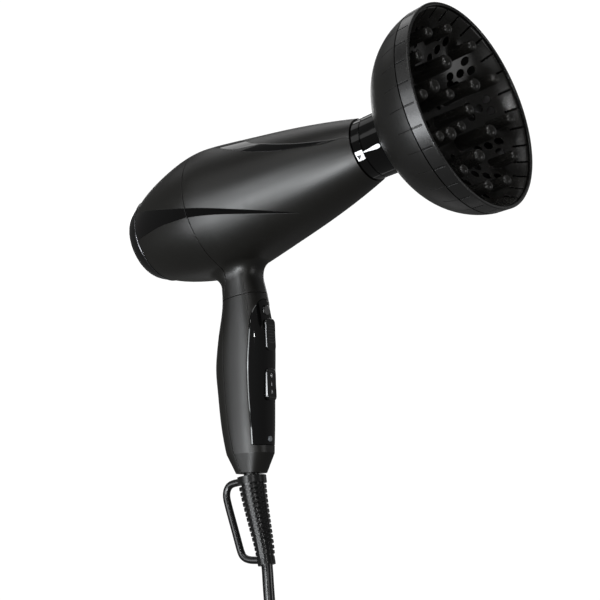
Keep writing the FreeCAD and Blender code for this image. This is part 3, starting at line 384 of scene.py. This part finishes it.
def build_spring():
    """Return spring: a coil from its foot on the dryer to its head at the round button, in the
    CAD spring's place.
    """
    old = nodes["cool_shot_spring"]
    points = [old.matrix_world @ v.co - GRIP_ORIGIN for v in old.data.vertices]
    outs = [point.dot(OUT) for point in points]
    alongs = [point.dot(DOWN) for point in points]
    centre = GRIP_ORIGIN + DOWN * ((min(alongs) + max(alongs)) / 2)
    foot = centre + OUT * (min(outs) + WIRE_RADIUS)
    head = centre + OUT * (max(outs) - WIRE_RADIUS)
    coil_radius = (max(alongs) - min(alongs)) / 2 - WIRE_RADIUS

    bm = bmesh.new()
    steps = TURNS * STEPS_PER_TURN
    wire_angles = [2 * math.pi * j / WIRE_SIDES for j in range(WIRE_SIDES)]
    rings = []
    for i in range(steps + 1):
        turn = 2 * math.pi * i / STEPS_PER_TURN
        radial = DOWN * math.cos(turn) + LEFT * math.sin(turn)
        middle = foot + (head - foot) * (i / steps) + radial * coil_radius
        rings.append([
            bm.verts.new(middle + (radial * math.cos(a) + OUT * math.sin(a)) * WIRE_RADIUS)
            for a in wire_angles
        ])
    skin(bm, rings)
    coil = finish_mesh("button_return_spring", bm, "steel")
    for face in coil.data.polygons:
        face.use_smooth = True
    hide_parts("cool_shot_spring")
    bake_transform(coil)


build_spring()

# ------------------------------------------------------------------ camera
CAM_RIGHT = Vector((0.79713, 0.56004, -0.22571))
CAM_UP = Vector((0.32650, -0.08534, 0.94134))
CAM_BACK = Vector((0.50792, -0.82406, -0.25088))
CAM_PLACE = Vector((0.85827, -1.66579, -0.58863))


def build_camera():
    data = bpy.data.cameras.new("cam")
    data.sensor_width = 36.0
    data.lens = 173.79
    data.clip_start = 0.05
    data.clip_end = 100.0
    camera = bpy.data.objects.new("cam", data)
    scene.collection.objects.link(camera)
    pose = Matrix((CAM_RIGHT, CAM_UP, CAM_BACK)).transposed().to_4x4()
    pose.translation = CAM_PLACE
    camera.matrix_world = pose
    scene.camera = camera


build_camera()

# ------------------------------------------------------------------ lights
LIGHT_TARGET = Vector((-0.13, 0.0, -0.06))
WHITE = (1, 1, 1)
KEY_TINT = (0.95, 0.98, 1.0)
SIDE_TINT = (0.95, 0.97, 1.0)
EDGE_TINT = (0.93, 0.96, 1.0)
# name, direction from the target (camera right, up, back), distance m, size m, power W, colour
SOFT_BOXES = (
    ("key_a", (-0.35, -0.40, 0.85), 1.3, 0.30, 8.0, KEY_TINT),
    ("key_b", (-0.64, -0.20, 0.74), 1.3, 0.40, 7.0, KEY_TINT),
    ("key_c", (-0.74, 0.13, 0.65), 1.3, 0.40, 3.1, KEY_TINT),
    ("key_d", (-0.25, -0.15, 0.95), 1.3, 0.35, 2.8, WHITE),
    ("front", (0.15, 0.10, 0.98), 2.0, 0.60, 1.1, WHITE),
    ("left_a", (-0.90, 0.12, 0.42), 1.3, 0.45, 1.5, SIDE_TINT),
    ("left_b", (-0.87, -0.30, 0.40), 1.3, 0.45, 3.2, SIDE_TINT),
    ("top_a", (-0.10, 0.80, -0.60), 1.3, 0.80, 1.9, WHITE),
    ("top_b", (-0.30, 0.85, 0.45), 1.3, 0.70, 3.7, WHITE),
    ("top_c", (-0.75, 0.60, 0.30), 1.3, 0.60, 0.6, WHITE),
    ("top_d", (-0.58, 0.63, -0.52), 1.3, 0.50, 0.3, WHITE),
    ("low_a", (-0.08, -0.71, -0.70), 1.3, 0.50, 0.3, WHITE),
    ("right_a", (0.92, -0.08, 0.30), 1.3, 0.50, 1.5, WHITE),
    ("right_b", (0.80, 0.10, -0.60), 1.3, 0.60, 0.32, WHITE),
    ("back_a", (0.18, 0.20, -0.96), 1.5, 0.60, 2.4, WHITE),
    ("back_b", (-0.22, 0.05, -0.97), 1.5, 0.40, 1.4, WHITE),
    ("panel_edge", (-0.85, -0.05, 0.52), 1.3, 0.50, 9.0, EDGE_TINT),
    ("dish_fill", (0.42, -0.44, 0.79), 1.3, 0.45, 0.45, WHITE),
    ("band_edge", (-0.88, -0.32, 0.38), 1.3, 0.50, 1.6, SIDE_TINT),
    ("spark_a", (0.10, 0.30, 0.95), 1.6, 0.05, 0.8, WHITE),
    ("spark_b", (-0.25, 0.42, 0.87), 1.6, 0.05, 0.8, WHITE),
)
lights = {}


def add_soft_box(name, direction, distance, size, power, colour):
    right, up, back = direction
    toward = (CAM_RIGHT * right + CAM_UP * up + CAM_BACK * back).normalized()
    data = bpy.data.lights.new(name, "AREA")
    data.energy = power
    data.color = colour
    data.size = size
    box = bpy.data.objects.new(name, data)
    scene.collection.objects.link(box)
    box.location = LIGHT_TARGET + toward * distance
    box.rotation_euler = (-toward).to_track_quat("-Z", "Y").to_euler()
    box.visible_camera = False
    lights[name] = box


for soft_box in SOFT_BOXES:
    add_soft_box(*soft_box)

# ------------------------------------------------------------------ light linking
FRONT_TRIMS = ("side_trim_front_right", "side_trim_front_left")
COLLARS = ("nozzle_ring", "diffuser_collar")
TRIMS = ("side_trim_front_right", "side_trim_rear_right", "side_trim_front_left",
         "side_trim_rear_left", "top_trim") + COLLARS
CONTROLS = ("switch_panel", "heat_slider", "speed_slider")
# collection, parts in it, whether its lights skip or only reach them, lights
LIGHT_LINKS = (
    ("polished_trims", TRIMS, "EXCLUDE", ("key_a", "key_b", "key_c")),
    ("front_hidden", TRIMS + ("switch_panel",), "EXCLUDE", ("key_d", "front")),
    ("collar_rings", COLLARS + FRONT_TRIMS, "EXCLUDE", ("left_a", "left_b")),
    ("controls", CONTROLS, "EXCLUDE", ("right_a", "right_b")),
    ("edge_only", CONTROLS, "INCLUDE", ("panel_edge",)),
    ("dish_only", ("diffuser_finger_plate",), "INCLUDE", ("dish_fill",)),
    ("band_only", ("diffuser_rim_band",), "INCLUDE", ("band_edge",)),
)
for collection_name, parts, state, light_names in LIGHT_LINKS:
    receivers = bpy.data.collections.new(collection_name)
    for part in parts:
        receivers.objects.link(nodes[part])
    for light in light_names:
        lights[light].light_linking.receiver_collection = receivers
    for item in receivers.collection_objects:
        item.light_linking.link_state = state


# ------------------------------------------------------------------ world
AMBIENT = 0.10  # strength that lights the dryer
BACKDROP = 1.05  # strength the camera sees


def build_world():
    world = bpy.data.worlds.new("studio")
    scene.world = world
    world.use_nodes = True
    tree = world.node_tree
    ambient = tree.nodes["Background"]
    backdrop = tree.nodes.new("ShaderNodeBackground")
    for background, strength in ((ambient, AMBIENT), (backdrop, BACKDROP)):
        background.inputs["Color"].default_value = (1, 1, 1, 1)
        background.inputs["Strength"].default_value = strength
    path = tree.nodes.new("ShaderNodeLightPath")
    mix = tree.nodes.new("ShaderNodeMixShader")
    tree.links.new(path.outputs["Is Camera Ray"], mix.inputs["Fac"])
    tree.links.new(ambient.outputs["Background"], mix.inputs[1])
    tree.links.new(backdrop.outputs["Background"], mix.inputs[2])
    tree.links.new(mix.outputs["Shader"], tree.nodes["World Output"].inputs["Surface"])


build_world()
scene.view_settings.view_transform = "Standard"
scene.view_settings.look = "None"
